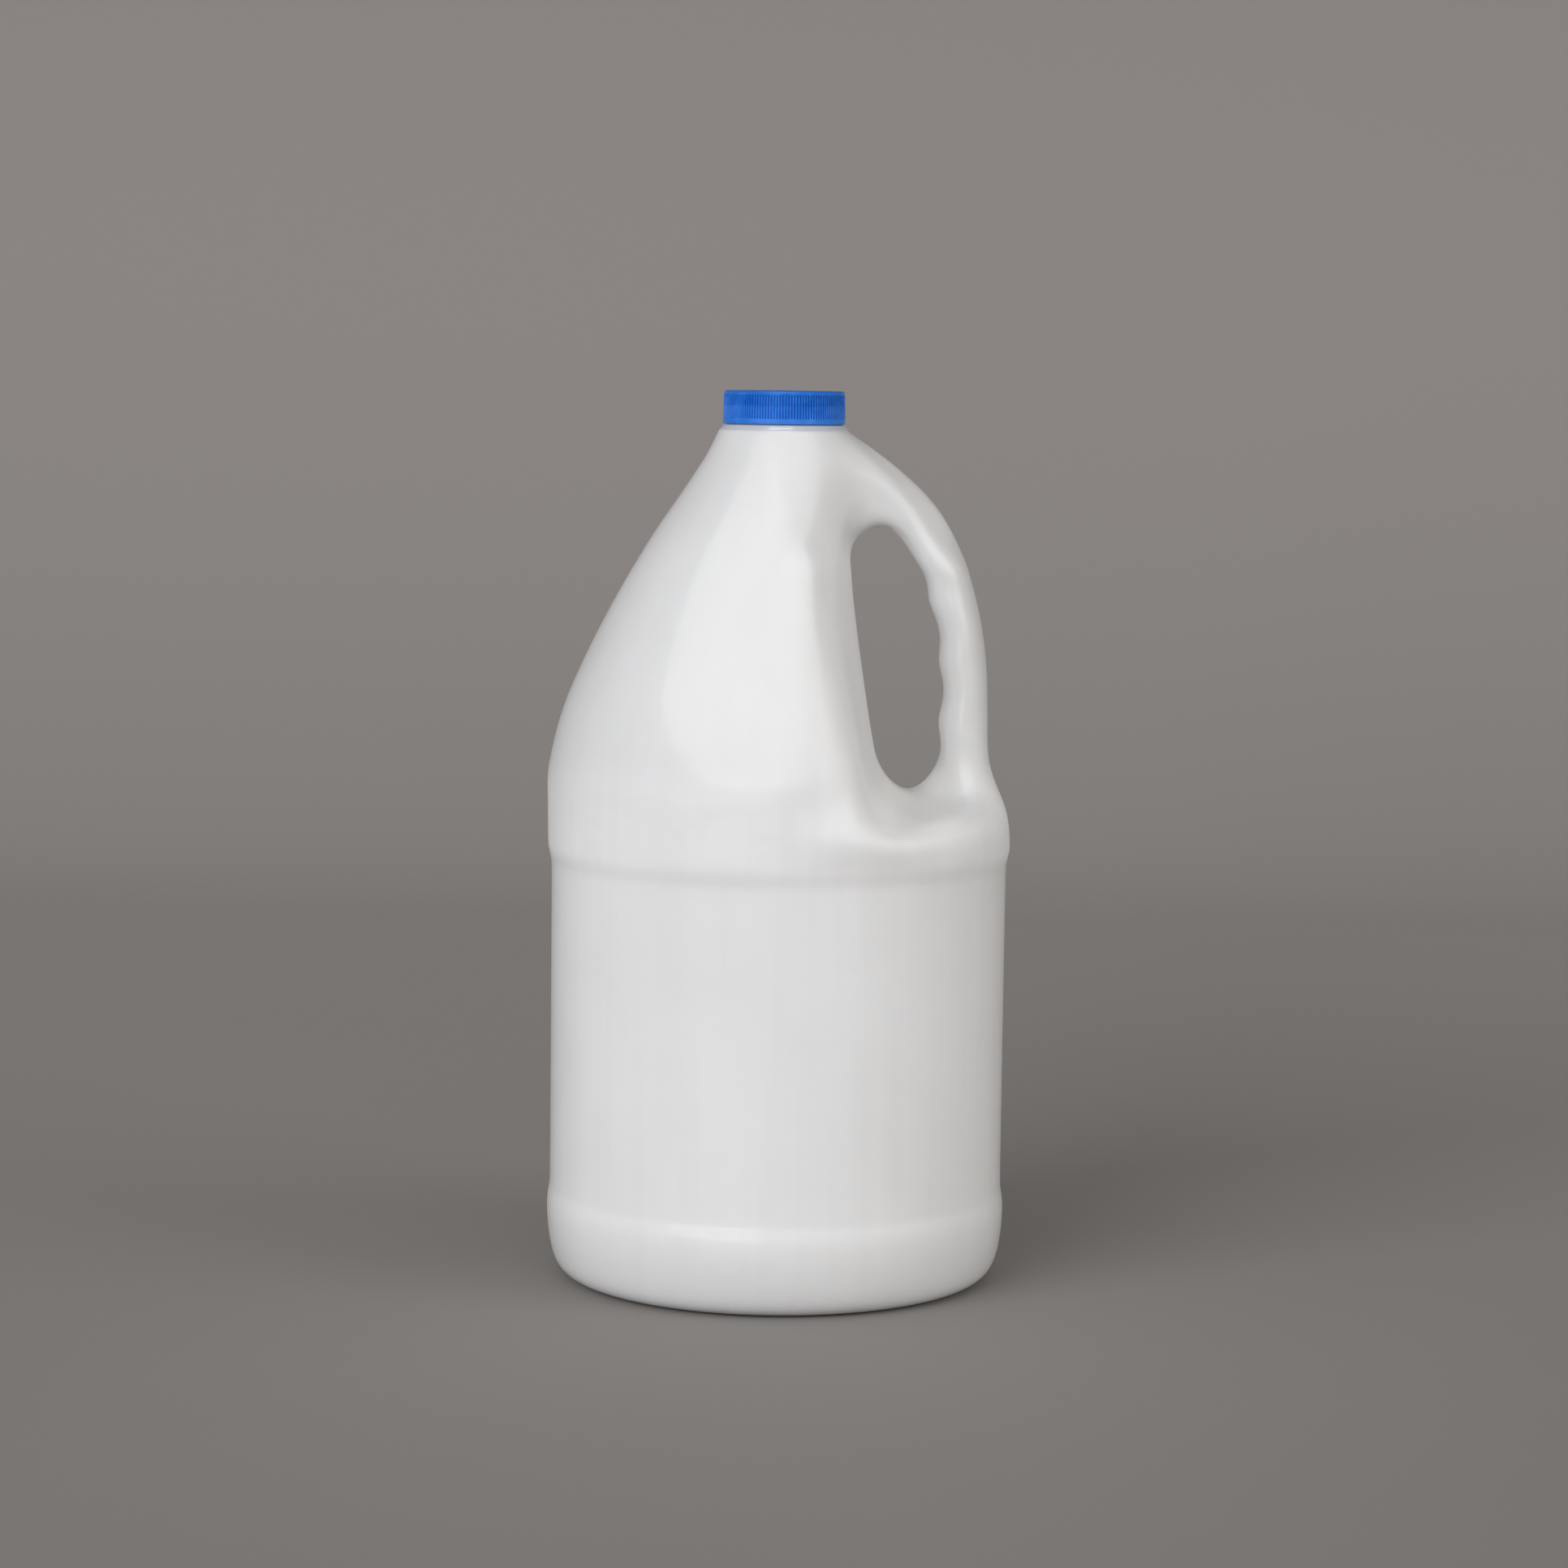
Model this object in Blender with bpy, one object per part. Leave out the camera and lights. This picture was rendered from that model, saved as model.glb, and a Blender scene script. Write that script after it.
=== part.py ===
# A shut one gallon jug of milky plastic with its handle moulded in, and its ribbed blue screw cap.
# Metres, +Z up. The jug stands on the origin, its round body's axis is Z and its handle is at +X.
# The mould's two halves meet in the plane y = 0, so one half is modelled and mirrored.
import math

import bmesh
import bpy
from mathutils import Matrix, Vector

# Body below the shoulder, as (radius, height) from the middle of the base outward and up
BASE_RECESS = ((0.0500, 0.0026), (0.0545, 0.0007))
BASE_RING = ((0.0572, 0.0), (0.0610, 0.0), (0.0655, 0.0))
HEEL = ((0.0702, 0.0007), (0.0742, 0.0036), (0.0764, 0.0092), (0.0776, 0.0172))
LOWER_STEP = ((0.0780, 0.0264), (0.0769, 0.0306), (0.0768, 0.0345))
UPPER_STEP = ((0.0769, 0.1385), (0.0769, 0.1422), (0.0781, 0.1462), (0.0782, 0.1495))

# Neck above the shoulder, as (radius, height): the ledge, the bead that shows, the stub in the cap
NECK = (
    (0.0218, 0.2874),
    (0.0195, 0.2877),
    (0.0190, 0.2881),
    (0.0190, 0.2889),
    (0.0184, 0.2893),
    (0.0184, 0.2982),
    (0.0176, 0.2988),
)

# Outline in the plane y = 0, as (height, x): the cone on the left, the handle's back on the right
CONE = (
    (0.1495, 0.0782),
    (0.1640, 0.0784),
    (0.1715, 0.0784),
    (0.1850, 0.0758),
    (0.2000, 0.0709),
    (0.2250, 0.0591),
    (0.2500, 0.0449),
    (0.2680, 0.0329),
    (0.2790, 0.0259),
    (0.2868, 0.0221),
)
HANDLE_BACK = (
    (0.1495, 0.0779),
    (0.1567, 0.0774),
    (0.1622, 0.0760),
    (0.1705, 0.0726),
    (0.1787, 0.0705),
    (0.1920, 0.0700),
    (0.2090, 0.0693),
    (0.2254, 0.0669),
    (0.2418, 0.0624),
    (0.2526, 0.0576),
    (0.2635, 0.0506),
    (0.2742, 0.0395),
    (0.2822, 0.0288),
    (0.2868, 0.0221),
)
# The hole's two sides and its two ends, in the same plane
HOLE_BODY_SIDE = (
    (0.1700, 0.0372),
    (0.1755, 0.0333),
    (0.1865, 0.0307),
    (0.2030, 0.0280),
    (0.2249, 0.0248),
    (0.2413, 0.0230),
    (0.2468, 0.0226),
    (0.2510, 0.0241),
)
HOLE_HANDLE_SIDE = (
    (0.1700, 0.0489),
    (0.1757, 0.0533),
    (0.1850, 0.0537),
    (0.2000, 0.0543),
    (0.2170, 0.0531),
    (0.2280, 0.0508),
    (0.2389, 0.0476),
    (0.2443, 0.0447),
    (0.2510, 0.0398),
)
HOLE_FOOT = (0.0431, 0.1670)
HOLE_TOP = (0.0333, 0.2550)
HOLE_FOOT_FRONT = (0.0431, -0.0080)

# Handle: half its depth, and the three swellings between the fingers
HANDLE_HALF_DEPTH = 0.0112
GRIP_PITCH = 0.0200
GRIP_FIRST = 0.1905
GRIP_COUNT = 3
GRIP_SWELL = 0.0006

# Front corner of the recess beside the handle, and the web that closes the hole's top
CORNER_START = 0.0076
CORNER_FROM_HOLE = 0.0085
CORNER_DEPTH = 0.0105
WALL_STEPS = ((0.0040, 0.62), (0.0010, 0.26))
WEB_START = 0.2560
WEB_END = 0.2860
WEB_TOP_X = 0.0222
WEB_ARCH = ((0.0, 0.0), (0.0026, 0.0078), (0.0086, 0.0108), (0.0150, 0.0070))
WEB_FRONT = ((0.0022, 0.18), (-0.0012, 0.50), (-0.0058, 0.78))

# Rows of the control cage above the shoulder band, as heights at the sides and in the recess
FLOOR_ROWS = (
    (0.1560, 0.1567, 0.04),
    (0.1620, 0.1612, 0.22),
    (0.1675, 0.1634, 0.56),
    (0.1722, 0.1670, 0.88),
)
HOLE_ROW_FIRST = 0.1772
HOLE_ROW_PITCH = GRIP_PITCH / 3
HOLE_ROWS = 11
TOP_ROWS = (
    (0.2515, 0.2592),
    (0.2588, 0.2642),
    (0.2658, 0.2692),
    (0.2722, 0.2742),
    (0.2783, 0.2791),
    (0.2832, 0.2835),
    (0.2866, 0.2866),
)
RIM_FOOT_Z = 0.1703
RIM_TOP_Z = 0.2508

# Columns of half a ring: 0 is the handle's back, 16 the left side; the hole is between 3 and 5
HALF = 16
INNER, MIDDLE, WALL, CORNER = 3, 4, 5, 8
RECESS_SHARE = (0.0, 0.35, 0.75, 1.0, 1.0, 0.95, 0.70, 0.40, 0.20, 0.05)
RECESS_LIFT = (0.0, 0.0, 0.0, -0.0006, -0.0028, 0.0002, 0.0040, 0.0036, 0.0012, 0.0)
LIFT_FADE = 0.6
RECESS_EASE = (1.0, 1.0, 1.0, 1.0, 1.0, 1.0, 1.25, 1.7, 1.7)
WALL_COLUMNS = (5, 6, 7, 8)
ARCH_COLUMNS = (1, 2, 3, 4)
EASE_ROUNDS = 3
FIT_ROUNDS = 7
JUG_LEVELS = 1

# Cap, as heights and radii, and the ribs round its side
CAP_FOOT = 0.2895
CAP_BAND_TOP = 0.2912
CAP_RIBS_TOP = 0.2991
CAP_TOP = 0.3005
CAP_BAND_RADIUS = 0.02055
CAP_RIB_FOOT_RADIUS = 0.02050
CAP_RIB_TOP_RADIUS = 0.02030
CAP_TOP_RADIUS = 0.01950
CAP_RIB_DEPTH = 0.00028
CAP_RIBS = 132
CAP_INNER_RADIUS = 0.0190
CAP_INNER_TOP = 0.2993

SMOOTH_ANGLE = math.radians(35)
SAME = 0.00001

JUG_COLOUR = (0.80, 0.80, 0.79)
JUG_ROUGHNESS = 0.38
CAP_COLOUR = (0.015, 0.115, 0.52)
CAP_ROUGHNESS = 0.35


def make_material(name, colour, roughness):
    material = bpy.data.materials.new(name)
    material.use_nodes = True
    shader = material.node_tree.nodes["Principled BSDF"]
    shader.inputs["Base Color"].default_value = (*colour, 1.0)
    shader.inputs["Roughness"].default_value = roughness
    shader.inputs["Metallic"].default_value = 0.0
    return material


def add_object(name, bm, material):
    bmesh.ops.recalc_face_normals(bm, faces=bm.faces)
    mesh = bpy.data.meshes.new(name)
    bm.to_mesh(mesh)
    bm.free()
    mesh.materials.append(material)
    mesh.shade_smooth()
    obj = bpy.data.objects.new(name, mesh)
    bpy.context.scene.collection.objects.link(obj)
    return obj


def through(points, height):
    # Value at a height of the smooth curve through (height, value) points
    last = len(points) - 1
    k = 0
    while k < last - 1 and height > points[k + 1][0]:
        k += 1

    def slope(i):
        a, b = points[max(i - 1, 0)], points[min(i + 1, last)]
        return (b[1] - a[1]) / (b[0] - a[0])

    (z0, v0), (z1, v1) = points[k], points[k + 1]
    span = z1 - z0
    s = min(max((height - z0) / span, 0.0), 1.0)
    ease = s * s * (3 - 2 * s)
    lean = s * (1 - s) * span
    return v0 + (v1 - v0) * ease + lean * ((1 - s) * slope(k) - s * slope(k + 1))


def mix(a, b, share):
    return a + (b - a) * share


def smooth_step(low, high, value):
    s = min(max((value - low) / (high - low), 0.0), 1.0)
    return s * s * (3 - 2 * s)


def column_angle(j):
    return math.pi * j / HALF


def on_circle(radius, angle):
    return Vector((radius * math.cos(angle), -radius * math.sin(angle)))


def hole_handle_side(z):
    # The handle's inner edge, with its swellings between the fingers
    phase = (z - GRIP_FIRST) / GRIP_PITCH
    inside = -0.5 < phase < GRIP_COUNT - 0.5
    swell = GRIP_SWELL * math.cos(2 * math.pi * phase) if inside else 0.0
    return through(HOLE_HANDLE_SIDE, z) - swell


def corner_angle(z):
    return math.acos(CORNER_START / through(CONE, z))


def cone_point(j, z):
    # The round side of the body, from the recess's front corner to the left
    start = corner_angle(z)
    share = (j - CORNER) / (HALF - CORNER)
    return on_circle(through(CONE, z), mix(start, math.pi, share))


def handle_point(j, z):
    # The handle's oval, outer side first
    back = through(HANDLE_BACK, z)
    inner = hole_handle_side(z)
    middle = (back + inner) / 2
    angle = math.pi * j / MIDDLE
    return Vector((middle + (back - middle) * math.cos(angle), -HANDLE_HALF_DEPTH * math.sin(angle)))


def wall_point(j, z):
    # The recess's wall, from the front corner back to the parting plane
    edge = through(HOLE_BODY_SIDE, z)
    front = -(through(CONE, z) - CORNER_DEPTH)
    if j == CORNER - 1:
        return Vector((edge - CORNER_FROM_HOLE, front))
    inset, depth = WALL_STEPS[CORNER - 2 - j]
    return Vector((edge - inset, front * depth))


def grip_section(j, z):
    # At the height of the hole: the handle's oval and the body with its flat side
    if j == MIDDLE:
        return (handle_point(INNER, z) + wall_point(WALL, z)) / 2
    if j <= INNER:
        return handle_point(j, z)
    if j < CORNER:
        return wall_point(j, z)
    return cone_point(j, z)


def web_section(j, z):
    # Above the hole: the handle's arch, the web behind it and the body's front
    if j == MIDDLE:
        return (web_section(INNER, z) + web_section(WALL, z)) / 2
    if j <= INNER:
        inset, depth = WEB_ARCH[j]
        return Vector((through(HANDLE_BACK, z) - inset, -depth))
    if j < CORNER:
        beyond, depth = WEB_FRONT[j - WALL]
        return Vector((WEB_TOP_X + beyond, -depth * through(CONE, z)))
    return cone_point(j, z)


def round_section(j, z):
    # The neck's round, drawn out to the handle's back on the right
    angle = column_angle(j)
    radius = through(CONE, z)
    reach = through(HANDLE_BACK, z) if j < HALF / 2 else radius
    return Vector((reach * math.cos(angle), -radius * math.sin(angle)))


def floor_section(j, z, progress):
    # Between the shoulder band and the handle's foot: the floor under the hole
    share = progress ** of_column(RECESS_EASE, j, 1.0)
    if j == 0:
        return Vector((through(HANDLE_BACK, z), 0.0))
    if j >= CORNER:
        start = mix(column_angle(CORNER), corner_angle(HOLE_ROW_FIRST), share)
        return on_circle(through(CONE, z), mix(start, math.pi, (j - CORNER) / (HALF - CORNER)))
    foot = Vector(HOLE_FOOT_FRONT) if j == MIDDLE else grip_section(j, HOLE_ROW_FIRST)
    return on_circle(through(CONE, z), column_angle(j)).lerp(foot, share)


def of_column(shares, j, beyond=0.0):
    return shares[j] if j < len(shares) else beyond


def shoulder_rows():
    # Every row of half a ring between the shoulder band and the neck, as lists of points
    rows = []
    for side_z, floor_z, share in FLOOR_ROWS:
        row = []
        for j in range(HALF + 1):
            z = mix(side_z, floor_z, of_column(RECESS_SHARE, j)) + share * of_column(RECESS_LIFT, j)
            row.append(Vector((*floor_section(j, z, share), z)))
        rows.append(row)
    for i in range(HOLE_ROWS):
        row = []
        for j in range(HALF + 1):
            z = HOLE_ROW_FIRST + i * HOLE_ROW_PITCH + of_column(RECESS_LIFT, j) * LIFT_FADE**i
            row.append(Vector((*grip_section(j, z), z)))
        rows.append(row)
    for side_z, web_z in TOP_ROWS:
        row = []
        for j in range(HALF + 1):
            z = mix(side_z, web_z, of_column(RECESS_SHARE, j))
            share = smooth_step(WEB_START, WEB_END, z)
            row.append(Vector((*web_section(j, z).lerp(round_section(j, z), share), z)))
        rows.append(row)
    return rows


def ease_rows(rows):
    # Evens out the recess's wall and the web from row to row, where floor, grip and web meet
    web_first = len(FLOOR_ROWS) + HOLE_ROWS + 1
    for _ in range(EASE_ROUNDS):
        before = [row[:] for row in rows]
        for i in range(1, len(rows) - 1):
            columns = WALL_COLUMNS + ARCH_COLUMNS if i >= web_first else WALL_COLUMNS
            for j in columns:
                rows[i][j] = (before[i - 1][j] + 2 * before[i][j] + before[i + 1][j]) / 4
    return rows


def ring_row(radius, z):
    row = []
    for j in range(HALF + 1):
        row.append(Vector((*on_circle(radius, column_angle(j)), z)))
    return row


def rim_points():
    # The hole's outline in the parting plane, from its foot up the handle and down the body
    heights = [RIM_FOOT_Z]
    heights += [HOLE_ROW_FIRST + i * HOLE_ROW_PITCH for i in range(HOLE_ROWS)]
    heights += [RIM_TOP_Z]
    up = [Vector((hole_handle_side(z), 0.0, z)) for z in heights]
    down = [Vector((through(HOLE_BODY_SIDE, z), 0.0, z)) for z in reversed(heights)]
    foot = Vector((HOLE_FOOT[0], 0.0, HOLE_FOOT[1]))
    top = Vector((HOLE_TOP[0], 0.0, HOLE_TOP[1]))
    return [foot, *up, top, *down]


def add_row(bm, chain, points):
    # Extrudes a chain of vertices and puts the new one on the points
    edges = [bm.edges.get(pair) for pair in zip(chain, chain[1:])]
    made = bmesh.ops.extrude_edge_only(bm, edges=edges)["geom"]
    fresh = {v for v in made if isinstance(v, bmesh.types.BMVert)}
    follow = []
    for old, point in zip(chain, points):
        new = next(e.other_vert(old) for e in old.link_edges if e.other_vert(old) in fresh)
        new.co = point
        follow.append(new)
    return follow


def cut_hole(bm, rows, first, last):
    # Takes the hole's faces out and draws the edge that is left in to the parting plane
    inside = []
    for i in range(first, last):
        for j in (INNER, MIDDLE):
            corners = {rows[i][j], rows[i][j + 1], rows[i + 1][j], rows[i + 1][j + 1]}
            inside.append(next(f for f in rows[i][j].link_faces if set(f.verts) == corners))
    edge = [rows[first][MIDDLE]]
    edge += [rows[i][INNER] for i in range(first, last + 1)]
    edge += [rows[last][MIDDLE]]
    edge += [rows[i][WALL] for i in range(last, first - 1, -1)]
    bmesh.ops.delete(bm, geom=inside, context="FACES")
    outline = rim_points()
    add_row(bm, edge + edge[:1], outline + outline[:1])


def smooth_position(vert):
    # Where the subdivision surface holds a vertex of the cage
    n = len(vert.link_edges)
    near = Vector()
    for edge in vert.link_edges:
        near += edge.other_vert(vert).co
    far = Vector()
    for loop in vert.link_loops:
        far += loop.link_loop_next.link_loop_next.vert.co
    return (n * n * vert.co + 4 * near + far) / (n * (n + 5))


def fit_cage(bm):
    # Moves the cage until its smooth surface passes through the sections drawn above
    low, high = UPPER_STEP[-1][1], NECK[0][1]
    targets = [(vert, vert.co.copy()) for vert in bm.verts if low + SAME < vert.co.z < high - SAME]
    for _ in range(FIT_ROUNDS):
        moves = [(vert, target - smooth_position(vert)) for vert, target in targets]
        for vert, move in moves:
            vert.co += move


def build_jug(material):
    bm = bmesh.new()
    swell = 3 / (2 + math.cos(math.pi / HALF))
    body = BASE_RECESS + BASE_RING + HEEL + LOWER_STEP + UPPER_STEP
    lower = [ring_row(radius * swell, z) for radius, z in body]
    neck = [ring_row(radius * swell, z) for radius, z in NECK]
    chain = [bm.verts.new(point) for point in lower[0]]
    for pair in zip(chain, chain[1:]):
        bm.edges.new(pair)
    rows = [chain]
    for points in lower[1:] + ease_rows(shoulder_rows()) + neck:
        rows.append(add_row(bm, rows[-1], points))
    hole_first = len(lower) + len(FLOOR_ROWS) - 1
    cut_hole(bm, rows, hole_first, hole_first + HOLE_ROWS + 1)
    bmesh.ops.mirror(bm, geom=bm.verts[:] + bm.edges[:] + bm.faces[:], axis="Y", merge_dist=SAME)
    bmesh.ops.holes_fill(bm, edges=[e for e in bm.edges if e.is_boundary], sides=0)
    fit_cage(bm)
    jug = add_object("jug", bm, material)
    smooth = jug.modifiers.new("Smooth", "SUBSURF")
    smooth.levels = JUG_LEVELS
    smooth.render_levels = JUG_LEVELS
    return jug


def add_ring(bm, count, radius, z, rib_depth=0.0, closed=False):
    # A loop of vertices round the cap; every second one stands back by the rib depth
    place = Matrix.Translation((0.0, 0.0, z))
    ring = bmesh.ops.create_circle(bm, segments=count, radius=radius, matrix=place, cap_ends=closed)["verts"]
    for vert in ring[::2]:
        inward = Vector((vert.co.x, vert.co.y, 0.0)).normalized()
        vert.co -= inward * rib_depth
    return [bm.edges.get(pair) for pair in zip(ring, ring[1:] + ring[:1])]


def build_cap(material):
    bm = bmesh.new()
    points = 2 * CAP_RIBS
    rings = [
        add_ring(bm, CAP_RIBS, CAP_INNER_RADIUS, CAP_FOOT),
        add_ring(bm, CAP_RIBS, CAP_BAND_RADIUS, CAP_FOOT),
        add_ring(bm, CAP_RIBS, CAP_BAND_RADIUS, CAP_BAND_TOP),
        add_ring(bm, points, CAP_RIB_FOOT_RADIUS, CAP_BAND_TOP + CAP_RIB_DEPTH, CAP_RIB_DEPTH),
        add_ring(bm, points, CAP_RIB_TOP_RADIUS, CAP_RIBS_TOP, CAP_RIB_DEPTH),
        add_ring(bm, CAP_RIBS, CAP_TOP_RADIUS, CAP_TOP, closed=True),
    ]
    for pair in zip(rings, rings[1:]):
        bmesh.ops.bridge_loops(bm, edges=pair[0] + pair[1])
    hollow = bmesh.ops.extrude_edge_only(bm, edges=rings[0])["geom"]
    bmesh.ops.translate(
        bm,
        verts=[v for v in hollow if isinstance(v, bmesh.types.BMVert)],
        vec=(0.0, 0.0, CAP_INNER_TOP - CAP_FOOT),
    )
    bmesh.ops.holes_fill(bm, edges=[e for e in bm.edges if e.is_boundary], sides=0)
    cap = add_object("cap", bm, material)
    cap.data.set_sharp_from_angle(angle=SMOOTH_ANGLE)
    return cap


def main():
    for obj in list(bpy.data.objects):
        bpy.data.objects.remove(obj)
    build_jug(make_material("milky_plastic", JUG_COLOUR, JUG_ROUGHNESS))
    build_cap(make_material("blue_plastic", CAP_COLOUR, CAP_ROUGHNESS))


main()
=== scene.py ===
# A shut one gallon jug of milky plastic with its handle moulded in, and its ribbed blue screw cap.
import math

import bmesh
import bpy
from mathutils import Matrix, Vector


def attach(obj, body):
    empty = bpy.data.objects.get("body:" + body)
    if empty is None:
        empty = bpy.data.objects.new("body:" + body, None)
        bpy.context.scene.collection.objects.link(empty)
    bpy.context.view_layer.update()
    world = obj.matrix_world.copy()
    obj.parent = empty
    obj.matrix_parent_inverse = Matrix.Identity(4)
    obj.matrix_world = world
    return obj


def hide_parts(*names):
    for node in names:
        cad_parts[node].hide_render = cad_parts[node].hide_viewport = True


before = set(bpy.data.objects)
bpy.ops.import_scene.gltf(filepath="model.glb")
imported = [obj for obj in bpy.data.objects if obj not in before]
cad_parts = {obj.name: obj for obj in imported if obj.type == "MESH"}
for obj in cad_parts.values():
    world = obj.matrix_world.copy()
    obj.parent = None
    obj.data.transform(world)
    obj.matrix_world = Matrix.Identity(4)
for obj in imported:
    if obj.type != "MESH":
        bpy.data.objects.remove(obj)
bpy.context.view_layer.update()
print("frame loaded:", sorted(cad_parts))


# Camera, at the photograph's place: a long lens, a little above the jug's cap and slightly rolled
view = {
    "distance": 1.3796,
    "height": 0.3088,
    "down": 5.83,
    "roll": 0.71,
    "turn": 0.06,
    "lens": 94.0,
    "sensor": 36.0,
}


def placeCamera(view):
    lens = bpy.data.cameras.new("camera")
    lens.lens = view["lens"]
    lens.sensor_width = view["sensor"]
    camera = bpy.data.objects.new("camera", lens)
    bpy.context.scene.collection.objects.link(camera)
    stand = Matrix.Translation((0.0, -view["distance"], view["height"]))
    turn = Matrix.Rotation(math.radians(-view["turn"]), 4, "Z")
    pitch = Matrix.Rotation(math.radians(90 - view["down"]), 4, "X")
    roll = Matrix.Rotation(math.radians(view["roll"]), 4, "Z")
    camera.matrix_world = stand @ turn @ pitch @ roll
    bpy.context.scene.camera = camera


placeCamera(view)
print("camera placed")


# Small helpers for meshes
same = 0.00001  # two points this near are one


def newPiece(name, bm, material, levels=0):
    mesh = bpy.data.meshes.new(name)
    bm.to_mesh(mesh)
    bm.free()
    mesh.materials.append(material)
    mesh.shade_smooth()
    piece = bpy.data.objects.new(name, mesh)
    bpy.context.scene.collection.objects.link(piece)
    if levels:
        smooth = piece.modifiers.new("smooth", "SUBSURF")
        smooth.levels = levels
        smooth.render_levels = levels
    return piece


def mix(a, b, share):
    return a + (b - a) * share


def smoothStep(low, high, value):
    s = min(max((value - low) / (high - low), 0.0), 1.0)
    return s * s * (3 - 2 * s)


def through(points, height):
    # Value at a height of the smooth curve through (height, value) points
    last = len(points) - 1
    k = 0
    while k < last - 1 and height > points[k + 1][0]:
        k += 1

    def slope(i):
        a, b = points[max(i - 1, 0)], points[min(i + 1, last)]
        return (b[1] - a[1]) / (b[0] - a[0])

    (z0, v0), (z1, v1) = points[k], points[k + 1]
    span = z1 - z0
    s = min(max((height - z0) / span, 0.0), 1.0)
    ease = s * s * (3 - 2 * s)
    lean = s * (1 - s) * span
    return v0 + (v1 - v0) * ease + lean * ((1 - s) * slope(k) - s * slope(k + 1))


# Shader maths: a socket with operators, and one method for every other node
class Wire:
    def __init__(self, tree, socket=None):
        self.tree = tree
        self.socket = socket

    def node(self, kind, settings={}, sockets={}, output=0):
        made = self.tree.nodes.new(kind)
        for name, value in settings.items():
            if name == "stops":
                ramp = made.color_ramp.elements
                while len(ramp) < len(value):
                    ramp.new(0.5)
                for stop, (place, colour) in zip(ramp, value):
                    stop.position = place
                    stop.color = colour
            else:
                setattr(made, name, value)
        for name, value in sockets.items():
            if isinstance(value, Wire):
                self.tree.links.new(value.socket, made.inputs[name])
            else:
                made.inputs[name].default_value = value
        return Wire(self.tree, made.outputs[output])

    def maths(self, operation, first, second=0.0, third=0.0):
        return self.node("ShaderNodeMath", {"operation": operation}, {0: first, 1: second, 2: third})

    def __add__(self, other):
        return self.maths("ADD", self, other)

    def __radd__(self, other):
        return self.maths("ADD", other, self)

    def __sub__(self, other):
        return self.maths("SUBTRACT", self, other)

    def __rsub__(self, other):
        return self.maths("SUBTRACT", other, self)

    def __mul__(self, other):
        return self.maths("MULTIPLY", self, other)

    def __rmul__(self, other):
        return self.maths("MULTIPLY", other, self)

    def __truediv__(self, other):
        return self.maths("DIVIDE", self, other)

    def __abs__(self):
        return self.maths("ABSOLUTE", self)

    def power(self, exponent):
        return self.maths("POWER", self, exponent)

    def within(self, low, high):
        # 0 at low and 1 at high, smooth between
        settings = {"interpolation_type": "SMOOTHSTEP"}
        return self.node("ShaderNodeMapRange", settings, {"Value": self, "From Min": low, "From Max": high})

    def inside(self, band):
        # 1 inside a band that fades in over its first two values and out over its last two
        start, full, fading, end = band
        return self.within(start, full) * (1 - self.within(fading, end))

    def noise(self, scale, detail=2.0, rough=0.5):
        sockets = {"Vector": self, "Scale": scale, "Detail": detail, "Roughness": rough}
        return self.node("ShaderNodeTexNoise", {}, sockets)

    def axes(self):
        parts = self.node("ShaderNodeSeparateXYZ", {}, {"Vector": self})
        return [Wire(self.tree, parts.socket.node.outputs[axis]) for axis in "XYZ"]

    def stretched(self, scale):
        return self.node("ShaderNodeMapping", {"vector_type": "POINT"}, {"Vector": self, "Scale": scale})

    def blended(self, first, second):
        # Colour first where this is 0 and colour second where it is 1
        settings = {"data_type": "RGBA", "clamp_factor": True}
        return self.node("ShaderNodeMix", settings, {0: self, 6: first, 7: second}, output=2)

    def bump(self, distance, strength, under=None):
        sockets = {"Height": self, "Distance": distance, "Strength": strength}
        if under:
            sockets["Normal"] = under
        return self.node("ShaderNodeBump", {}, sockets)


def newMaterial(name, fixed):
    material = bpy.data.materials.new(name)
    material.use_nodes = True
    shader = material.node_tree.nodes["Principled BSDF"]
    for socket, value in fixed.items():
        shader.inputs[socket].default_value = value
    place = Wire(material.node_tree).node("ShaderNodeTexCoord", output=3)

    def finish(socket, wire):
        material.node_tree.links.new(wire.socket, shader.inputs[socket])

    return material, place, finish


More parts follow.
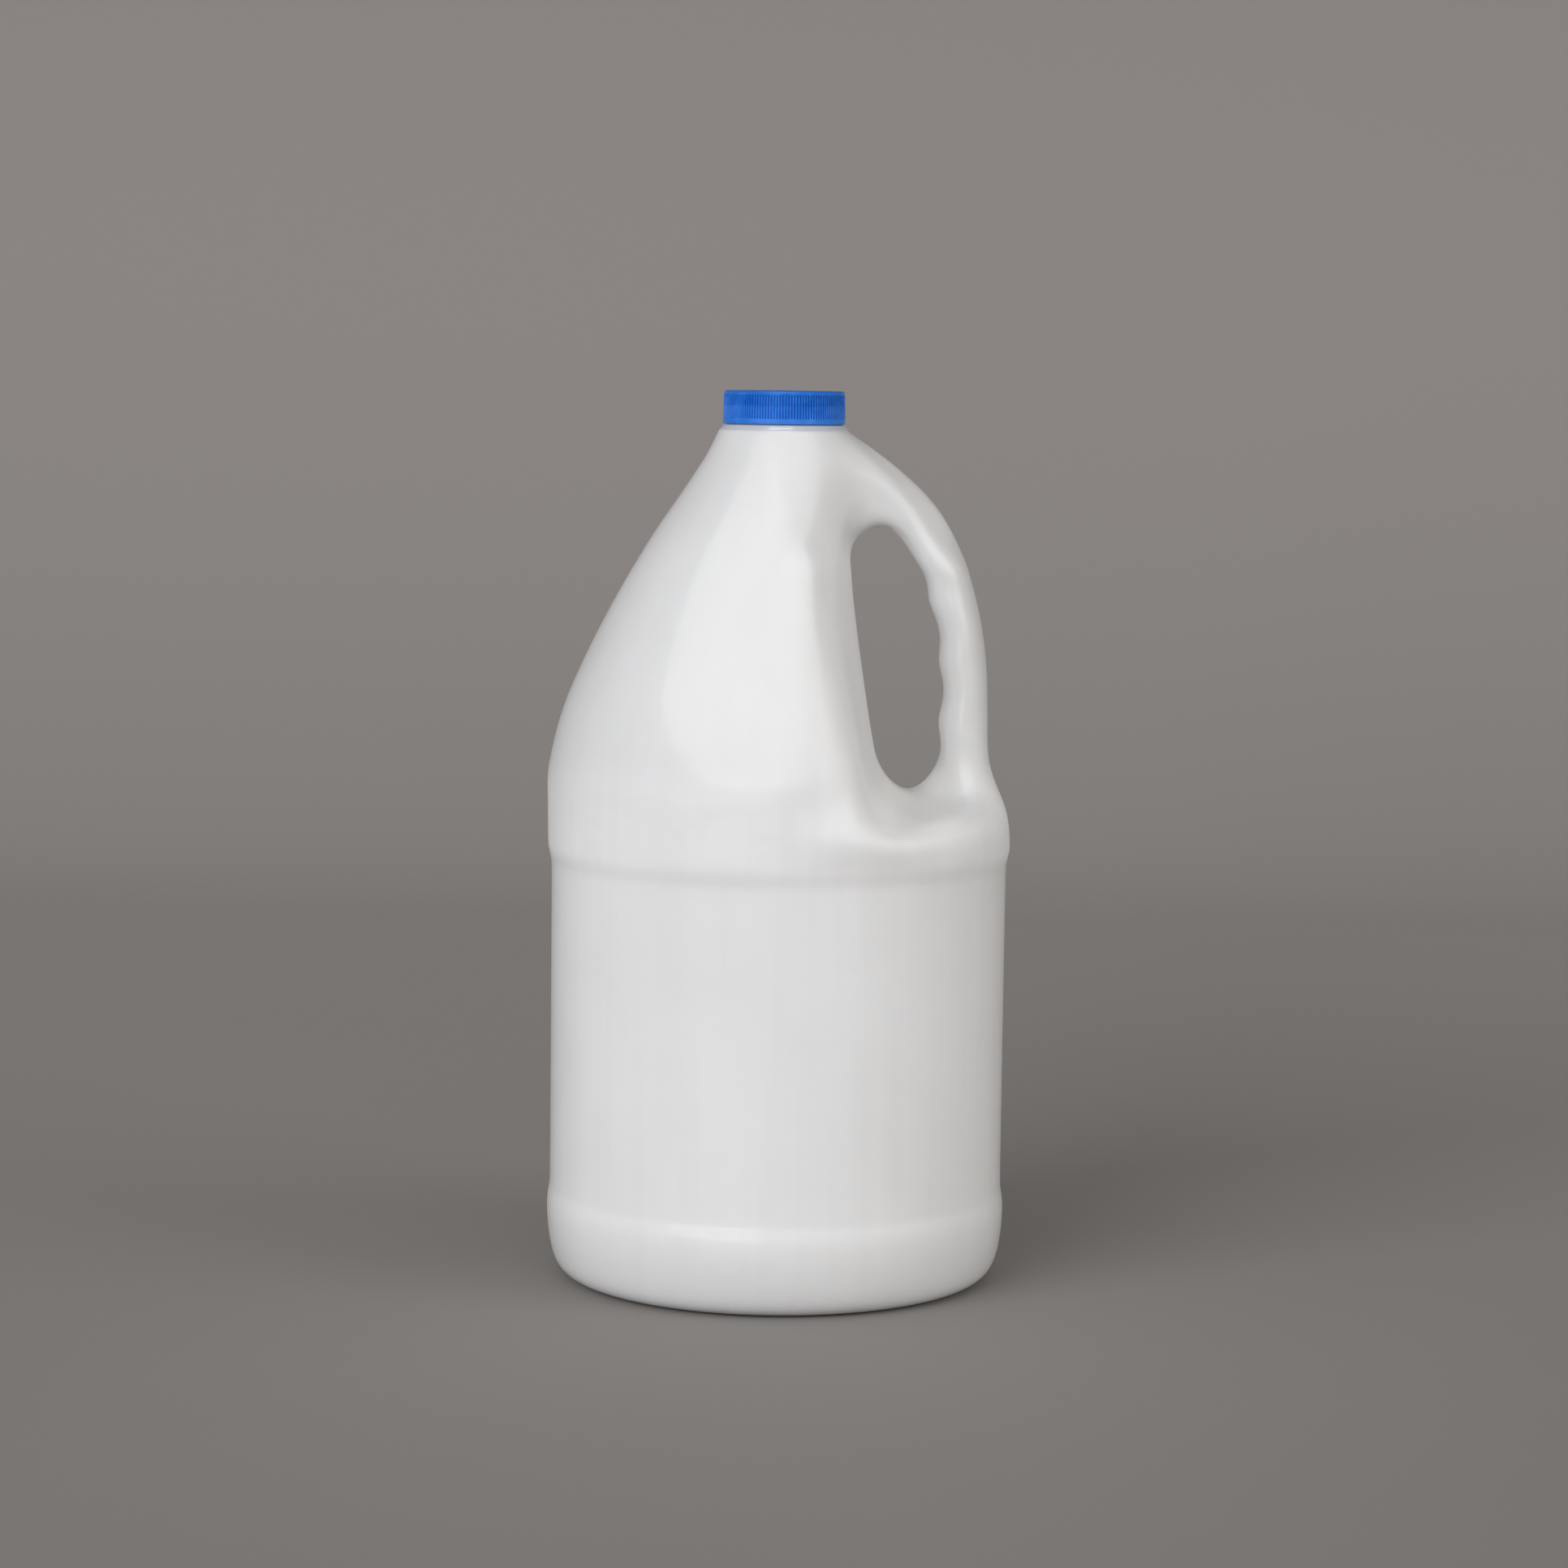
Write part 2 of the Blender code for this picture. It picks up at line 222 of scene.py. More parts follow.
# Milky plastic: clouds, faint streaks up and down, a matt band under the shoulder, the mould's line at y = 0
milky = {
    "light": (0.80, 0.80, 0.805, 1.0),
    "dark": (0.75, 0.75, 0.75, 1.0),
    "scuff": (0.70, 0.69, 0.67, 1.0),
    # The neck's band under the cap: painted shade of the cap, tinted blue as painted light from the cap
    "neck": (0.56, 0.575, 0.61, 1.0),
    "paintedShadeGrey": (0.60, 0.600, 0.60, 1.0),
    "paintedLightPale": (0.93, 0.92, 0.905, 1.0),
    # Noises, as (scale, detail, roughness)
    "clouds": (16.0, 3.0, 0.55),
    "streaks": (150.0, 2.0),
    "streakStretch": (1.0, 1.0, 0.04),
    "speckle": (420.0, 3.0, 0.65),
    "rub": (55.0, 4.0, 0.6),
    "rubStretch": (1.0, 1.0, 2.0),
    "waves": (34.0, 1.0),
    # Where the noises start and end to show, and how much
    "cloudRange": (0.35, 0.70),
    "cloudTone": 0.55,
    "streakRange": (0.40, 0.65),
    "streakTone": 0.25,
    "rubRange": (0.46, 0.74),
    "scuffTone": 0.20,
    # Heights and widths in metres, as (starts, full, fades, gone) or (starts, full)
    "shoulderBand": (0.1440, 0.1480, 0.1660, 0.1730),
    "footBand": (0.0080, 0.0150, 0.0285, 0.0305),
    "mattBand": (0.1400, 0.1480, 0.1640, 0.1780),
    "recessAcross": (0.0080, 0.0160, 0.0360, 0.0440),
    "recessUp": (0.1640, 0.1780, 0.2760, 0.2840),
    "recessToned": (0.2440, 0.2560),
    "lipAcross": (-0.0150, 0.0280, 0.0340, 0.0560),
    "lipUp": (0.1420, 0.1500, 0.1560, 0.1660),
    "foldAcross": (0.0240, 0.0380, 0.0500, 0.0620),
    "foldUp": (0.1570, 0.1620, 0.1680, 0.1780),
    "handleAcross": (0.0220, 0.0500),
    "handleUp": (0.1780, 0.2150),
    "heelUp": (0.0100, 0.0320),
    "coneUp": (0.1600, 0.1850),
    "topUp": (0.2400, 0.2750),
    "neckShadeUp": (0.2868, 0.2878),
    "seamWidth": (0.00015, 0.00060),
    # Shares of the painted shade and painted light that were set by comparing the render with the photograph
    "coneShade": 0.36,
    "topShade": 0.14,
    "handleShade": 0.40,
    "lipShade": 0.36,
    "heelShade": 0.40,
    "foldLight": 0.7,
    "roughness": 0.38,
    "cloudRoughness": 0.10,
    "scuffRoughness": 0.08,
    "speckleRoughness": 0.05,
    "coat": 0.60,
    "cloudCoat": 0.12,
    "rubbedOff": 0.50,
    "dulled": 0.46,
    # Reliefs, as (metres, strength)
    "waveRelief": (0.0009, 0.5),
    "streakRelief": (0.00006, 0.35),
    "speckleRelief": (0.00004, 0.30),
    "seamRelief": (0.00018, 0.8),
    "fixed": {
        "Coat Roughness": 0.11,
        "Subsurface Weight": 0.60,
        "Subsurface Scale": 0.009,
        "Subsurface Radius": (1.0, 0.9, 0.8),
        "IOR": 1.5,
    },
}


def milkyPlastic(values):
    material, place, finish = newMaterial("milkyPlastic", values["fixed"])
    x, y, z = place.axes()
    clouds = place.noise(*values["clouds"])
    streaks = place.stretched(values["streakStretch"]).noise(*values["streaks"])
    speckle = place.noise(*values["speckle"])
    # Rubbed where jugs touch each other: the band under the shoulder and the band over the foot
    rubbed = place.stretched(values["rubStretch"]).noise(*values["rub"]).within(*values["rubRange"])
    scuffs = (z.inside(values["shoulderBand"]) + z.inside(values["footBand"])) * rubbed
    tone = clouds.within(*values["cloudRange"]) * values["cloudTone"]
    tone = tone + streaks.within(*values["streakRange"]) * values["streakTone"]
    colour = tone.blended(values["light"], values["dark"])
    colour = (scuffs * values["scuffTone"]).blended(colour, values["scuff"])
    # Painted shade and painted light, set by comparing the render with the photograph, under these lights:
    # painted shade greys the shoulder, the handle, the ledge's lip and the heel, and painted light makes the
    # fold under the gap paler. That the wall's thickness makes them is a guess
    recess = x.inside(values["recessAcross"]) * z.inside(values["recessUp"])
    lip = x.inside(values["lipAcross"]) * z.inside(values["lipUp"])
    handle = x.within(*values["handleAcross"]) * z.within(*values["handleUp"])
    heel = 1 - z.within(*values["heelUp"])
    cone = z.within(*values["coneUp"]) * (1 - recess * (1 - z.within(*values["recessToned"])))
    # Painted shade over the shoulder, the top, the handle, the ledge's lip and the heel
    paintedShade = cone * values["coneShade"] + z.within(*values["topUp"]) * values["topShade"]
    paintedShade = paintedShade + handle * values["handleShade"] + lip * values["lipShade"] + heel * values["heelShade"]
    colour = paintedShade.blended(colour, values["paintedShadeGrey"])
    # Painted light in the fold under the gap, lifting its shade
    fold = x.inside(values["foldAcross"]) * z.inside(values["foldUp"])
    colour = (fold * values["foldLight"]).blended(colour, values["paintedLightPale"])
    # Greyer and bluer on the neck under the cap: painted shade and painted blue light from the cap
    finish("Base Color", z.within(*values["neckShadeUp"]).blended(colour, values["neck"]))
    uneven = (clouds - 0.5) * values["cloudRoughness"] + (speckle - 0.5) * values["speckleRoughness"]
    finish("Roughness", values["roughness"] + uneven + scuffs * values["scuffRoughness"])
    # The band under the shoulder is rubbed matt, and the recess is dull
    worn = z.inside(values["mattBand"]) * values["rubbedOff"] + recess * values["dulled"]
    finish("Coat Weight", values["coat"] - worn + (clouds - 0.5) * values["cloudCoat"])
    seam = 1 - abs(y).within(*values["seamWidth"])
    waves = place.noise(*values["waves"]).bump(*values["waveRelief"])
    lines = streaks.bump(*values["streakRelief"], waves)
    grain = speckle.bump(*values["speckleRelief"], lines)
    finish("Normal", seam.bump(*values["seamRelief"], grain))
    return material


# Blue plastic: clouds of two blues, paler on the crests for wear and a painted highlight, paler under the
# groove, crests smoother than grooves
blue = {
    "deep": (0.008, 0.124, 0.545, 1.0),
    "pale": (0.040, 0.225, 0.73, 1.0),
    # Noises, as (scale, detail, roughness)
    "clouds": (120.0, 3.0),
    "speckle": (2200.0, 3.0, 0.6),
    "wear": (260.0, 3.0, 0.6),
    "cloudRange": (0.3, 0.7),
    "cloudTone": 0.30,
    "wearRange": (0.42, 0.70),
    "crestWearAndHighlight": 0.50,
    "lowerTone": 0.25,
    "grooveUp": (0.2952, 0.2957),
    # The skirt tapers upwards from this height, so its crests are told by a radius that leans with it
    "skirtFoot": 0.2914,
    "skirtLean": 0.0213,
    "crestReach": (0.02008, 0.02046),
    "roughness": 0.50,
    "polish": 0.30,
    "cloudRoughness": 0.10,
    "wearRoughness": 0.06,
    "speckleRelief": (0.00003, 0.35),
    "fixed": {
        "Specular IOR Level": 0.35,
        "Subsurface Weight": 0.10,
        "Subsurface Scale": 0.001,
        "Subsurface Radius": (0.2, 0.4, 1.0),
        "IOR": 1.38,
    },
}


def bluePlastic(values):
    material, place, finish = newMaterial("bluePlastic", values["fixed"])
    x, y, z = place.axes()
    reach = (x * x + y * y).power(0.5) + (z - values["skirtFoot"]) * values["skirtLean"]
    crest = reach.within(*values["crestReach"])
    clouds = place.noise(*values["clouds"])
    # Paler crests where the wear noise lets them: wear, and a painted highlight that makes the ribs stand
    # out
    worn = crest * place.noise(*values["wear"]).within(*values["wearRange"])
    lower = 1 - z.within(*values["grooveUp"])
    tone = clouds.within(*values["cloudRange"]) * values["cloudTone"]
    tone = tone + worn * values["crestWearAndHighlight"] + lower * values["lowerTone"]
    finish("Base Color", tone.blended(values["deep"], values["pale"]))
    uneven = (clouds - 0.5) * values["cloudRoughness"] + worn * values["wearRoughness"]
    finish("Roughness", values["roughness"] - crest * values["polish"] + uneven)
    finish("Normal", place.noise(*values["speckle"]).bump(*values["speckleRelief"]))
    return material


milkyMaterial = milkyPlastic(milky)
blueMaterial = bluePlastic(blue)
print("materials made")


# Jug: a cage of half rings from the base to the neck, mirrored and smoothed. Metres, (radius, height)
jugShape = {
    "base": ((0.0500, 0.0026), (0.0545, 0.0007), (0.0572, 0.0), (0.0610, 0.0), (0.0655, 0.0)),
    "heel": ((0.0702, 0.0007), (0.0742, 0.0036), (0.0764, 0.0092), (0.0776, 0.0172)),
    "lowerStep": ((0.0780, 0.0264), (0.0769, 0.0306), (0.0768, 0.0345)),
    "upperStep": ((0.0769, 0.1385), (0.0769, 0.1422), (0.0781, 0.1462), (0.0782, 0.1495)),
    "neck": (
        (0.0218, 0.2874),
        (0.0212, 0.2879),
        (0.0206, 0.2886),
        (0.0204, 0.2892),
        (0.0190, 0.2894),
        (0.0184, 0.2900),
        (0.0184, 0.2982),
        (0.0176, 0.2988),
    ),
    # Outlines in the seam's plane, as (height, x)
    "cone": (
        (0.1495, 0.0782),
        (0.1640, 0.0784),
        (0.1715, 0.0784),
        (0.1850, 0.0758),
        (0.2000, 0.0709),
        (0.2250, 0.0591),
        (0.2500, 0.0449),
        (0.2680, 0.0329),
        (0.2790, 0.0259),
        (0.2868, 0.0221),
    ),
    "handleBack": (
        (0.1495, 0.0779),
        (0.1567, 0.0774),
        (0.1622, 0.0760),
        (0.1705, 0.0726),
        (0.1787, 0.0705),
        (0.1920, 0.0700),
        (0.2090, 0.0693),
        (0.2254, 0.0669),
        (0.2418, 0.0624),
        (0.2526, 0.0576),
        (0.2635, 0.0506),
        (0.2742, 0.0395),
        (0.2822, 0.0288),
        (0.2868, 0.0221),
    ),
    "holeBodySide": (
        (0.1700, 0.0372),
        (0.1755, 0.0333),
        (0.1865, 0.0307),
        (0.2030, 0.0280),
        (0.2249, 0.0248),
        (0.2413, 0.0230),
        (0.2468, 0.0229),
        (0.2500, 0.0239),
        (0.2524, 0.0258),
    ),
    "holeHandleSide": (
        (0.1700, 0.0489),
        (0.1757, 0.0533),
        (0.1850, 0.0537),
        (0.2000, 0.0543),
        (0.2170, 0.0531),
        (0.2280, 0.0508),
        (0.2389, 0.0476),
        (0.2443, 0.0447),
        (0.2524, 0.0390),
    ),
    "holeFoot": (0.0431, 0.1670),
    "holeTop": (0.0328, 0.2552),
    "holeFootFront": (0.0431, -0.0080),
    "holeEnds": (0.1703, 0.2514),
    "handleHalfDepth": 0.0112,
    "gripPitch": 0.0200,
    "gripFirst": 0.1905,
    "gripCount": 3,
    "gripSwell": 0.0006,
    # The recess's front corner, its wall, and the web that closes the hole's top
    "cornerStart": 0.0076,
    "cornerFromHole": 0.0085,
    # The corner fades out at its foot, as (height, depth under the cone)
    "cornerDepth": (
        (0.1600, 0.0042),
        (0.1720, 0.0062),
        (0.1800, 0.0092),
        (0.1880, 0.0105),
        (0.2300, 0.0105),
    ),
    # How far the wall has come forward, as (height, share of the corner's front)
    "wallFront": ((0.1700, 0.84), (0.1800, 0.78), (0.1950, 0.70), (0.2150, 0.68), (0.2500, 0.68)),
    "wallInset": (0.0040, 0.0010),
    "wallBack": 0.32,
    "webHeights": (0.2560, 0.2860),
    "webTop": 0.0222,
    "webArch": ((0.0, 0.0), (0.0026, 0.0078), (0.0086, 0.0108), (0.0150, 0.0070)),
    "webFront": ((0.0022, 0.18), (-0.0012, 0.50), (-0.0058, 0.78)),
    # Rows of the cage, as heights at the sides and in the recess
    "floorRows": (
        (0.1560, 0.1567, 0.04),
        (0.1620, 0.1612, 0.22),
        (0.1675, 0.1634, 0.56),
        (0.1722, 0.1670, 0.88),
    ),
    "holeRowFirst": 0.1772,
    "holeRows": 11,
    "topRows": (
        (0.2515, 0.2592),
        (0.2588, 0.2642),
        (0.2658, 0.2692),
        (0.2722, 0.2742),
        (0.2783, 0.2791),
        (0.2832, 0.2835),
        (0.2866, 0.2866),
    ),
    "recessShare": (0.0, 0.35, 0.75, 1.0, 1.0, 0.95, 0.70, 0.40, 0.20, 0.05),
    "recessLift": (0.0, 0.0, 0.0, -0.0006, -0.0028, 0.0002, 0.0040, 0.0036, 0.0012, 0.0),
    "liftFade": 0.6,
    "recessEase": (1.0, 1.0, 1.0, 1.0, 1.0, 1.0, 1.2, 1.4, 1.4),
    "easeRounds": 3,
    "webRounds": 5,
    # The web's lower edge round the hole's top, on the handle, in the middle and on the body
    "holeCrown": (
        (0.0422, -0.0080, 0.2532),
        (0.0325, -0.0088, 0.2572),
        (0.0222, -0.0122, 0.2532),
    ),
    "crownWall": 0.0222,
    "fitRounds": 7,
    "levels": 3,
}

# Columns of half a ring: 0 is the handle's back, 16 the far side; the hole is between 3 and 5
half, inner, middle, wall, corner = 16, 3, 4, 5, 8


def columnAngle(j):
    return math.pi * j / half


def onCircle(radius, angle):
    return Vector((radius * math.cos(angle), -radius * math.sin(angle)))


def ofColumn(shares, j, beyond=0.0):
    return shares[j] if j < len(shares) else beyond


def gripEdge(shape, z):
    # The handle's inner edge, with its swellings between the fingers
    phase = (z - shape["gripFirst"]) / shape["gripPitch"]
    inside = -0.5 < phase < shape["gripCount"] - 0.5
    swell = shape["gripSwell"] * math.cos(2 * math.pi * phase) if inside else 0.0
    return through(shape["holeHandleSide"], z) - swell


def cornerAngle(shape, z):
    return math.acos(shape["cornerStart"] / through(shape["cone"], z))


def conePoint(shape, j, z):
    share = (j - corner) / (half - corner)
    return onCircle(through(shape["cone"], z), mix(cornerAngle(shape, z), math.pi, share))


def gripSection(shape, j, z):
    # At the height of the hole: the handle's oval, and the body with its recessed side
    if j == middle:
        return (gripSection(shape, inner, z) + gripSection(shape, wall, z)) / 2
    if j <= inner:
        back, edge = through(shape["handleBack"], z), gripEdge(shape, z)
        angle = math.pi * j / middle
        across = mix(edge, back, (1 + math.cos(angle)) / 2)
        return Vector((across, -shape["handleHalfDepth"] * math.sin(angle)))
    if j < corner:
        edge = through(shape["holeBodySide"], z)
        front = through(shape["cornerDepth"], z) - through(shape["cone"], z)
        if j == corner - 1:
            return Vector((edge - shape["cornerFromHole"], front))
        depth = through(shape["wallFront"], z) if j == corner - 2 else shape["wallBack"]
        return Vector((edge - shape["wallInset"][corner - 2 - j], front * depth))
    return conePoint(shape, j, z)


def webSection(shape, j, z):
    # Above the hole: the handle's arch, the web behind it and the body's front
    if j == middle:
        return (webSection(shape, inner, z) + webSection(shape, wall, z)) / 2
    if j <= inner:
        inset, depth = shape["webArch"][j]
        return Vector((through(shape["handleBack"], z) - inset, -depth))
    if j < corner:
        beyond, depth = shape["webFront"][j - wall]
        return Vector((shape["webTop"] + beyond, -depth * through(shape["cone"], z)))
    return conePoint(shape, j, z)


def roundSection(shape, j, z):
    # The neck's round, drawn out to the handle's back
    radius = through(shape["cone"], z)
    reach = through(shape["handleBack"], z) if j < half / 2 else radius
    return Vector((reach * math.cos(columnAngle(j)), -radius * math.sin(columnAngle(j))))


def floorSection(shape, j, z, progress):
    # Between the shoulder band and the handle's foot: the floor under the hole
    share = progress ** ofColumn(shape["recessEase"], j, 1.0)
    if j == 0:
        return Vector((through(shape["handleBack"], z), 0.0))
    if j >= corner:
        start = mix(columnAngle(corner), cornerAngle(shape, shape["holeRowFirst"]), share)
        return onCircle(through(shape["cone"], z), mix(start, math.pi, (j - corner) / (half - corner)))
    foot = Vector(shape["holeFootFront"]) if j == middle else gripSection(shape, j, shape["holeRowFirst"])
    return onCircle(through(shape["cone"], z), columnAngle(j)).lerp(foot, share)


def shoulderRows(shape):
    rows = []
    for sideZ, floorZ, share in shape["floorRows"]:
        row = []
        for j in range(half + 1):
            lift = share * ofColumn(shape["recessLift"], j)
            z = mix(sideZ, floorZ, ofColumn(shape["recessShare"], j)) + lift
            row.append(Vector((*floorSection(shape, j, z, share), z)))
        rows.append(row)
    for i in range(shape["holeRows"]):
        row = []
        for j in range(half + 1):
            lift = ofColumn(shape["recessLift"], j) * shape["liftFade"] ** i
            z = shape["holeRowFirst"] + i * shape["gripPitch"] / 3 + lift
            row.append(Vector((*gripSection(shape, j, z), z)))
        rows.append(row)
    for sideZ, webZ in shape["topRows"]:
        row = []
        for j in range(half + 1):
            z = mix(sideZ, webZ, ofColumn(shape["recessShare"], j))
            share = smoothStep(*shape["webHeights"], z)
            row.append(Vector((*webSection(shape, j, z).lerp(roundSection(shape, j, z), share), z)))
        rows.append(row)
    # Even the recess's wall and the web out from row to row
    webFirst = len(shape["floorRows"]) + shape["holeRows"] + 1
    for _ in range(shape["easeRounds"]):
        before = [row[:] for row in rows]
        for i in range(1, len(rows) - 1):
            for j in range(1 if i >= webFirst else wall, corner + 1):
                rows[i][j] = (before[i - 1][j] + 2 * before[i][j] + before[i + 1][j]) / 4
    for _ in range(shape["webRounds"]):
        before = [row[:] for row in rows]
        for i in range(webFirst - 1, len(rows) - 1):
            for j in range(1, corner + 1):
                near = before[i - 1][j] + before[i + 1][j] + before[i][j - 1] + before[i][j + 1]
                rows[i][j] = (near + 4 * before[i][j]) / 8
    for j, point in zip((inner, middle, wall), shape["holeCrown"]):
        rows[webFirst - 1][j] = Vector(point)
    rows[webFirst - 2][wall].x = shape["crownWall"]
    return rows


def rimPoints(shape):
    # The hole's outline in the seam's plane, from its foot up the handle and down the body
    foot, top = shape["holeEnds"]
    heights = [foot]
    heights += [shape["holeRowFirst"] + i * shape["gripPitch"] / 3 for i in range(shape["holeRows"])]
    heights += [top]
    up = [Vector((gripEdge(shape, z), 0.0, z)) for z in heights]
    down = [Vector((through(shape["holeBodySide"], z), 0.0, z)) for z in reversed(heights)]
    first = Vector((shape["holeFoot"][0], 0.0, shape["holeFoot"][1]))
    last = Vector((shape["holeTop"][0], 0.0, shape["holeTop"][1]))
    return [first, *up, last, *down]


def pullRing(bm, ring, points):
    # Extrudes a closed ring of vertices and puts the new one on the points
    edges = [bm.edges.get(pair) for pair in zip(ring, ring[1:] + ring[:1])]
    made = bmesh.ops.extrude_edge_only(bm, edges=edges)["geom"]
    fresh = {v for v in made if isinstance(v, bmesh.types.BMVert)}
    follow = []
    for old, point in zip(ring, points):
        new = next(e.other_vert(old) for e in old.link_edges if e.other_vert(old) in fresh)
        new.co = point
        follow.append(new)
    return follow


def cutHole(bm, rows, first, last, shape):
    # Takes the hole's faces out and draws the edge that is left in to the seam's plane
    inside = []
    for i in range(first, last):
        for j in (inner, middle):
            corners = {rows[i][j], rows[i][j + 1], rows[i + 1][j], rows[i + 1][j + 1]}
            inside.append(next(f for f in rows[i][j].link_faces if set(f.verts) == corners))
    ring = [rows[first][middle]]
    ring += [rows[i][inner] for i in range(first, last + 1)]
    ring += [rows[last][middle]]
    ring += [rows[i][wall] for i in range(last, first - 1, -1)]
    bmesh.ops.delete(bm, geom=inside, context="FACES")
    pullRing(bm, ring, rimPoints(shape))


def smoothedPlace(vert):
    # Where the subdivision surface holds a vertex of the cage
    n = len(vert.link_edges)
    near = Vector()
    for edge in vert.link_edges:
        near += edge.other_vert(vert).co
    far = Vector()
    for loop in vert.link_loops:
        far += loop.link_loop_next.link_loop_next.vert.co
    return (n * n * vert.co + 4 * near + far) / (n * (n + 5))


def fitCage(bm, low, high, rounds):
    # Moves the cage until its smooth surface passes through the sections drawn above
    targets = [(vert, vert.co.copy()) for vert in bm.verts if low + same < vert.co.z < high - same]
    for _ in range(rounds):
        moves = [(vert, target - smoothedPlace(vert)) for vert, target in targets]
        for vert, move in moves:
            vert.co += move


def makeJug(shape, material):
    swell = 3 / (2 + math.cos(math.pi / half))  # a cage's ring is wider than the round that it holds

    def ring(radius, z):
        return [Vector((*onCircle(radius * swell, columnAngle(j)), z)) for j in range(half + 1)]

    body = shape["base"] + shape["heel"] + shape["lowerStep"] + shape["upperStep"]
    lower = [ring(*point) for point in body]
    places = lower + shoulderRows(shape) + [ring(*point) for point in shape["neck"]]
    bm = bmesh.new()
    sheet = bmesh.ops.create_grid(bm, x_segments=half, y_segments=len(places) - 1, size=1.0)["verts"]
    sheet = sorted(sheet, key=lambda v: (round(v.co.y, 4), v.co.x))
    rows = [sheet[i:i + half + 1] for i in range(0, len(sheet), half + 1)]
    for row, points in zip(rows, places):
        for vert, point in zip(row, points):
            vert.co = point
    holeFirst = len(lower) + len(shape["floorRows"]) - 1
    cutHole(bm, rows, holeFirst, holeFirst + shape["holeRows"] + 1, shape)
    bmesh.ops.mirror(bm, geom=bm.verts[:] + bm.edges[:] + bm.faces[:], axis="Y", merge_dist=same)
    bmesh.ops.holes_fill(bm, edges=[e for e in bm.edges if e.is_boundary], sides=0)
    bmesh.ops.recalc_face_normals(bm, faces=bm.faces)
    fitCage(bm, shape["upperStep"][-1][1], shape["neck"][0][1], shape["fitRounds"])
    return newPiece("milkyJug", bm, material, shape["levels"])


jug = makeJug(jugShape, milkyMaterial)
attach(jug, "root")
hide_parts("jug")
print("jug made:", len(jug.data.vertices), "cage points")


# Cap: a ribbed skirt over a plain band, a bevelled top with a shallow sunk middle
capShape = {
    "ribs": 132,
    "stands": (0.0, 0.0, 1.0, 1.0),  # share of the rib's depth that its points stand back, crest then groove
    "sharpAngle": 38,
    "ribDepth": 0.00045,
    # Side, as (radius, height, share of the rib's depth)
    "side": (
        (0.01900, 0.29200, 0.0),
        (0.01900, 0.28970, 0.0),
        (0.01915, 0.28950, 0.0),
        (0.02040, 0.28950, 0.0),
        (0.02055, 0.28965, 0.0),
        (0.02055, 0.29105, 0.0),
        (0.02050, 0.29120, 0.0),
        (0.02050, 0.29140, 1.0),
        (0.02047, 0.29545, 1.0),
        (0.02037, 0.29562, 1.0),
        (0.02042, 0.29582, 1.0),
        (0.02034, 0.29895, 1.0),
        (0.02032, 0.29920, 0.0),
        (0.02026, 0.29965, 0.0),
        (0.02008, 0.30010, 0.0),
        (0.01975, 0.30040, 0.0),
        (0.01930, 0.30050, 0.0),
        (0.01600, 0.30050, 0.0),
        (0.01560, 0.30035, 0.0),
        (0.00400, 0.30030, 0.0),
    ),
}


def makeCap(shape, material):
    bm = bmesh.new()
    stands = shape["stands"]
    count = shape["ribs"] * len(stands)
    radius, z, _ = shape["side"][0]
    place = Matrix.Translation((0.0, 0.0, z))
    ring = bmesh.ops.create_circle(bm, segments=count, radius=radius, matrix=place)["verts"]
    for radius, z, share in shape["side"][1:]:
        points = []
        for k in range(count):
            angle = math.pi / 2 + 2 * math.pi * k / count
            reach = radius - shape["ribDepth"] * share * stands[k % len(stands)]
            points.append(Vector((reach * math.cos(angle), reach * math.sin(angle), z)))
        ring = pullRing(bm, ring, points)
    bmesh.ops.holes_fill(bm, edges=[e for e in bm.edges if e.is_boundary], sides=0)
    bmesh.ops.recalc_face_normals(bm, faces=bm.faces)
    cap = newPiece("blueCap", bm, material)
    cap.data.set_sharp_from_angle(angle=math.radians(shape["sharpAngle"]))
    return cap


cap = makeCap(capShape, blueMaterial)
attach(cap, "root")
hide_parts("cap")
print("cap made:", len(cap.data.vertices), "points")


# Floor, light and air
studio = {
    # Paper: painted light and shade along its length, darker on the floor near the front and paler behind
    # the jug and up the sweep, where less light falls, as (distance from the front of the floor, colour)
    "paperPaintedLight": (
        (0.28, (0.162, 0.152, 0.145, 1.0)),
        (0.36, (0.212, 0.199, 0.190, 1.0)),
        (0.46, (0.290, 0.272, 0.258, 1.0)),
        (0.66, (0.380, 0.357, 0.340, 1.0)),
        (0.78, (0.345, 0.325, 0.309, 1.0)),
        (1.00, (0.352, 0.317, 0.308, 1.0)),
    ),
    "paperSpan": (-1.5, 2.1),
    "floorHalf": 3.0,
    "sweepStart": 0.9,
    "sweepRadius": 0.6,
    "sweepSteps": 16,
    "sweepHeight": 3.0,
    "paperNoise": 3.0,
    "paperUneven": 0.03,
    "paperRoughness": 0.9,
    "air": (0.80, 0.80, 0.80, 1.0),
    "airStrength": 0.45,
}

# Soft panels: two light the jug without showing in its gloss, three show only in the gloss
white, warm, cool, violet = (1.0, 1.0, 1.0), (1.0, 0.97, 0.94), (0.99, 1.0, 1.015), (1.0, 0.95, 1.0)
lights = {
    # name: (outline, place, looks at, width, depth, watts, colour, only in the gloss)
    "front": ("RECTANGLE", (-1.30, -1.80, 0.85), (0.0, 0.0, 0.12), 1.8, 1.4, 43.0, cool, False),
    "rightFill": ("RECTANGLE", (1.9, -0.9, 0.5), (0.0, 0.0, 0.12), 1.2, 1.2, 20.5, warm, False),
    "overhead": ("ELLIPSE", (0.0, -0.38, 0.276), (-0.01, -0.373, 0.177), 0.70, 0.70, 2.0, white, True),
    "capTop": ("RECTANGLE", (-0.005, -0.035, 0.37), (0.0, -0.019, 0.3), 0.05, 0.03, 0.03, violet, True),
    "lowStrip": ("RECTANGLE", (-0.65, -1.13, 0.10), (0.0, 0.0, 0.10), 1.1, 0.18, 1.0, white, True),
}


